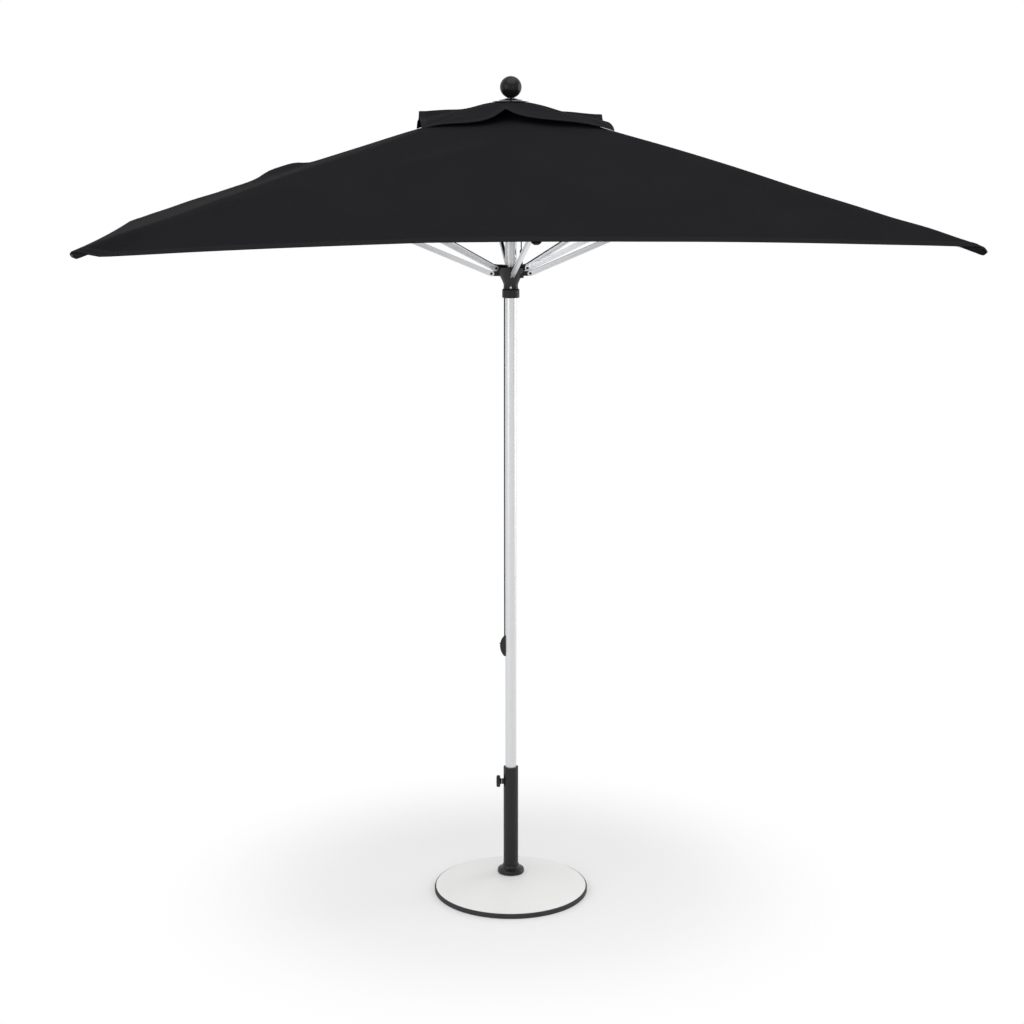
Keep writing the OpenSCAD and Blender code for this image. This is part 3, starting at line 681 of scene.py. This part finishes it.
def taut_strand(name, top, foot, bow):
    """A pulled-tight length of cord from the pole end, top, to the runner end, foot."""
    steps = np.linspace(0, 1, 60)
    pts = [foot.lerp(top, t) + bow * math.sin(math.pi * t) for t in steps]
    drop = top - foot
    ax = drop.normalized()
    e1 = ax.orthogonal().normalized()
    e2 = ax.cross(e1)
    n, m = 16, len(pts)
    verts, faces, uvs = [], [], []
    for p in pts:
        for a in range(n):
            w = 2 * math.pi * a / n
            verts.append(p + (e1 * math.cos(w) + e2 * math.sin(w)) * CORD_R)
    for j in range(m - 1):
        for a in range(n):
            b = (a + 1) % n
            faces.append((j * n + a, j * n + b, (j + 1) * n + b, (j + 1) * n + a))
            uvs.append([(a / n, j), ((a + 1) / n, j), ((a + 1) / n, j + 1), (a / n, j + 1)])
    faces.append(tuple(range(n - 1, -1, -1)))
    faces.append(tuple((m - 1) * n + a for a in range(n)))
    uvs += [[(0, 0)] * n, [(0, 0)] * n]
    mesh = bpy.data.meshes.new(name)
    mesh.from_pydata([tuple(v) for v in verts], [], faces)
    uv = mesh.uv_layers.new(name="flat")
    step = drop.length / (m - 1)
    flat = [(c[0] * 10, c[1] * step) for face in uvs for c in face]
    uv.data.foreach_set("uv", np.array(flat, np.float32).ravel())
    mesh.update()
    for poly in mesh.polygons:
        poly.use_smooth = len(poly.vertices) == 4
    obj = bpy.data.objects.new(name, mesh)
    scene.collection.objects.link(obj)
    put(obj, M["cord"])
    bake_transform(obj)
    return obj


outward = Vector((math.cos(CORD_TURN), math.sin(CORD_TURN), 0))
strand = taut_strand("lift_cord", top, foot, outward * 0.0012)
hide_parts("lift_cord_outer")
taut_strand(
    "lift_cord_return", -outward * 0.0215 + Vector((0, 0, 0.9165)),
    -outward * 0.0215 + Vector((0, 0, 2.0646)), -outward * 0.0002)

# ---------------------------------------------------------------- floor and light
floor_mesh = bpy.data.meshes.new("floor")
size = 30.0
floor_mesh.from_pydata(
    [(-size, -size, 0), (size, -size, 0), (size, size, 0), (-size, size, 0)], [], [(0, 1, 2, 3)])
floor = bpy.data.objects.new("floor", floor_mesh)
floor.location = (0, 0, -0.0005)
scene.collection.objects.link(floor)
floor_mat = bpy.data.materials.new("floor")
floor_mat.use_nodes = True
tree = floor_mat.node_tree
tree.nodes.clear()
out = tree.nodes.new("ShaderNodeOutputMaterial")
mixer = tree.nodes.new("ShaderNodeMixShader")
diffuse = tree.nodes.new("ShaderNodeBsdfDiffuse")
glow = tree.nodes.new("ShaderNodeEmission")
diffuse.inputs["Color"].default_value = (0.9, 0.9, 0.9, 1)
glow.inputs["Color"].default_value = (1, 1, 1, 1)
glow.inputs["Strength"].default_value = 1.0
where = tree.nodes.new("ShaderNodeNewGeometry")
far = tree.nodes.new("ShaderNodeVectorMath")
far.operation = "LENGTH"
fade = tree.nodes.new("ShaderNodeMapRange")
fade.interpolation_type = "SMOOTHSTEP"
for key, v in (("From Min", 0.5), ("From Max", 1.3), ("To Min", 0.26), ("To Max", 1.0)):
    fade.inputs[key].default_value = v
tree.links.new(where.outputs["Position"], far.inputs[0])
tree.links.new(far.outputs["Value"], fade.inputs["Value"])
tree.links.new(fade.outputs["Result"], mixer.inputs[0])
tree.links.new(diffuse.outputs[0], mixer.inputs[1])
tree.links.new(glow.outputs[0], mixer.inputs[2])
tree.links.new(mixer.outputs[0], out.inputs["Surface"])
floor_mesh.materials.append(floor_mat)

world = bpy.data.worlds.new("studio")
scene.world = world
world.use_nodes = True
tree = world.node_tree
tree.nodes.clear()
out = tree.nodes.new("ShaderNodeOutputWorld")
seen = tree.nodes.new("ShaderNodeBackground")
light = tree.nodes.new("ShaderNodeBackground")
pick = tree.nodes.new("ShaderNodeMixShader")
path = tree.nodes.new("ShaderNodeLightPath")
seen.inputs["Color"].default_value = (1, 1, 1, 1)
seen.inputs["Strength"].default_value = 1.0
light.inputs["Color"].default_value = (1, 1, 1, 1)
toward = tree.nodes.new("ShaderNodeTexCoord")
apart = tree.nodes.new("ShaderNodeSeparateXYZ")
tree.links.new(toward.outputs["Generated"], apart.inputs[0])


def world_math(op, a, b=None):
    node = tree.nodes.new("ShaderNodeMath")
    node.operation = op
    for j, v in enumerate((a, b)):
        if isinstance(v, (int, float)):
            node.inputs[j].default_value = v
        elif v is not None:
            tree.links.new(v, node.inputs[j])
    return node.outputs[0]


# a darker band of wall beside the set, on the right
bearing = world_math("ARCTAN2", apart.outputs["Y"], apart.outputs["X"])
off_band = world_math("DIVIDE", world_math("SUBTRACT", bearing, math.radians(-27)), math.radians(17))
shade = world_math("EXPONENT", world_math("MULTIPLY", world_math("POWER", off_band, 2.0), -1.0))
strength = world_math("SUBTRACT", 0.88, world_math("MULTIPLY", shade, 0.5))
tree.links.new(strength, light.inputs["Strength"])
tree.links.new(path.outputs["Is Camera Ray"], pick.inputs[0])
tree.links.new(light.outputs[0], pick.inputs[1])
tree.links.new(seen.outputs[0], pick.inputs[2])
tree.links.new(pick.outputs[0], out.inputs["Surface"])


def area(name, place, at, size, power):
    data = bpy.data.lights.new(name, "AREA")
    data.shape = "RECTANGLE"
    data.size, data.size_y = size
    data.energy = power
    obj = bpy.data.objects.new(name, data)
    obj.location = place
    obj.rotation_euler = (Vector(at) - Vector(place)).to_track_quat("-Z", "Y").to_euler()
    scene.collection.objects.link(obj)
    return obj


area("overhead", (0.3, -1.2, 6.0), (0, 0, 1.5), (5.0, 4.0), 120)
area("left", (-5.0, -3.5, 3.0), (0, 0, 1.4), (3.0, 4.0), 60)
area("right", (5.2, 0.9, 2.4), (0, 0, 1.3), (2.6, 4.0), 80)
area("glint_left", (-3.53, -4.85, 2.9), (0, 0, 2.74), (0.25, 0.6), 6)
area("glint_right", (1.85, -5.7, 2.9), (0, 0, 2.74), (0.25, 0.6), 6)
